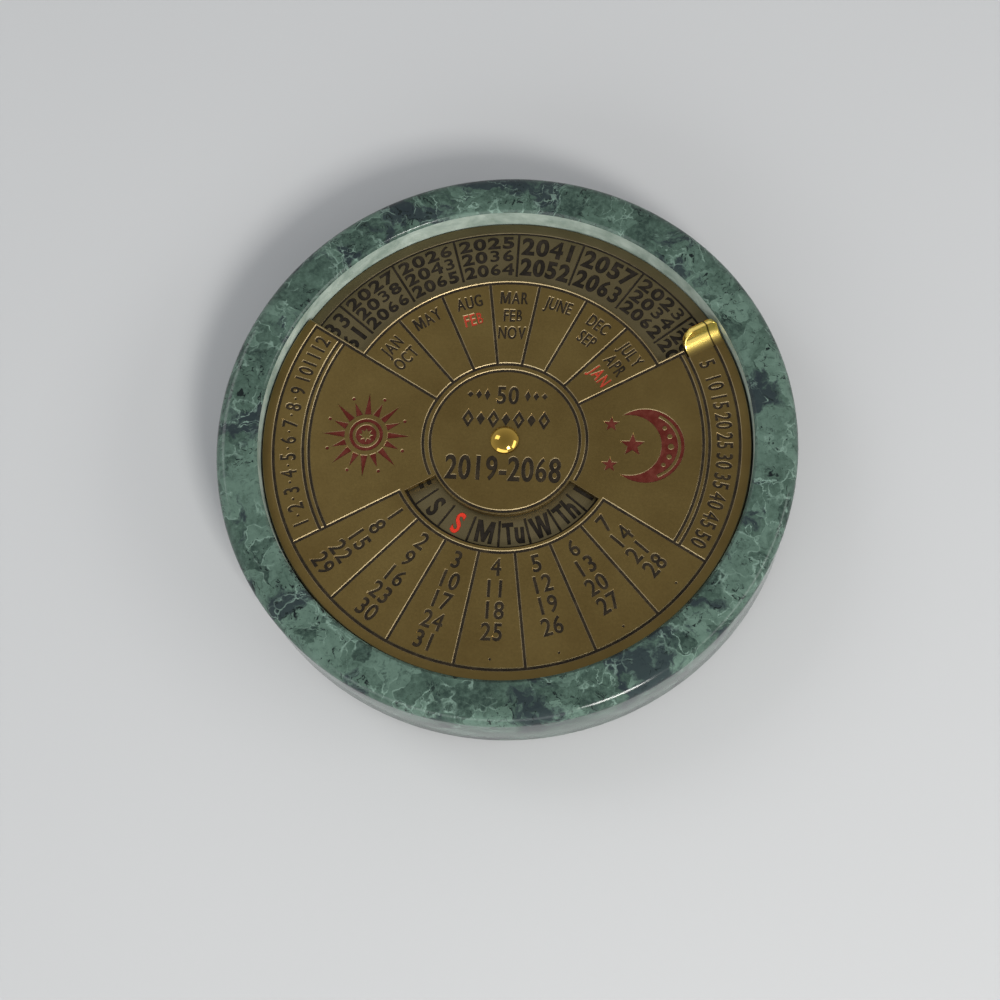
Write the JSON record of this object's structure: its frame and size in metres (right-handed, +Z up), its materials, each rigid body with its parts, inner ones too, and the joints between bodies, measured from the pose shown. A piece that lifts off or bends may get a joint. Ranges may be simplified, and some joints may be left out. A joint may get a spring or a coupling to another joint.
{
  "type": "perpetual desk calendar",
  "caption": "Round marble desk calendar: a brass cover with a finger tab turns over a fixed brass dial and lines up years, months, weekdays and dates.",
  "frame": {"origin": "centre of the felt's underside, where the calendar stands on the desk", "axes": "+Z up along the pivot, out of the dial; +Y from the pivot through the middle of the months on the cover; +X to the right"},
  "size_m": [0.078, 0.078, 0.0132],
  "materials": {
    "felt": "dark green pressed felt",
    "adhesive_film": "thin clear adhesive film",
    "green_marble": "polished green marble with pale veins and dark patches",
    "bond_adhesive": "white foam adhesive",
    "dial_brass": "matt lacquered antique brass",
    "black_enamel": "black baked enamel fill",
    "slip_plastic": "natural nylon",
    "spring_steel": "bright spring steel",
    "washer_brass": "plain brass",
    "polished_brass": "polished brass",
    "cover_brass": "satin lacquered antique brass with bright bevelled edges",
    "red_enamel": "dark red baked enamel fill"
  },
  "bodies": {
    "base": {"felt_pad": "felt", "felt_film": "adhesive_film", "marble_base": "green_marble", "bond_ring": "bond_adhesive", "dial_plate": "dial_brass", "dial_line_enamel": "black_enamel", "slip_washer": "slip_plastic", "spring_washer": "spring_steel", "tail_washer": "washer_brass", "pivot_rivet": "polished_brass"},
    "cover": {"cover_plate": "cover_brass", "cover_line_enamel": "black_enamel", "sun_enamel": "red_enamel", "moon_enamel": "red_enamel"}
  },
  "joints": [
    {"name": "cover_turn", "type": "hinge", "parent": "base", "child": "cover", "pos_m": [0, 0, 0.01095], "axis": [0, 0, 1], "continuous": true}
  ]
}
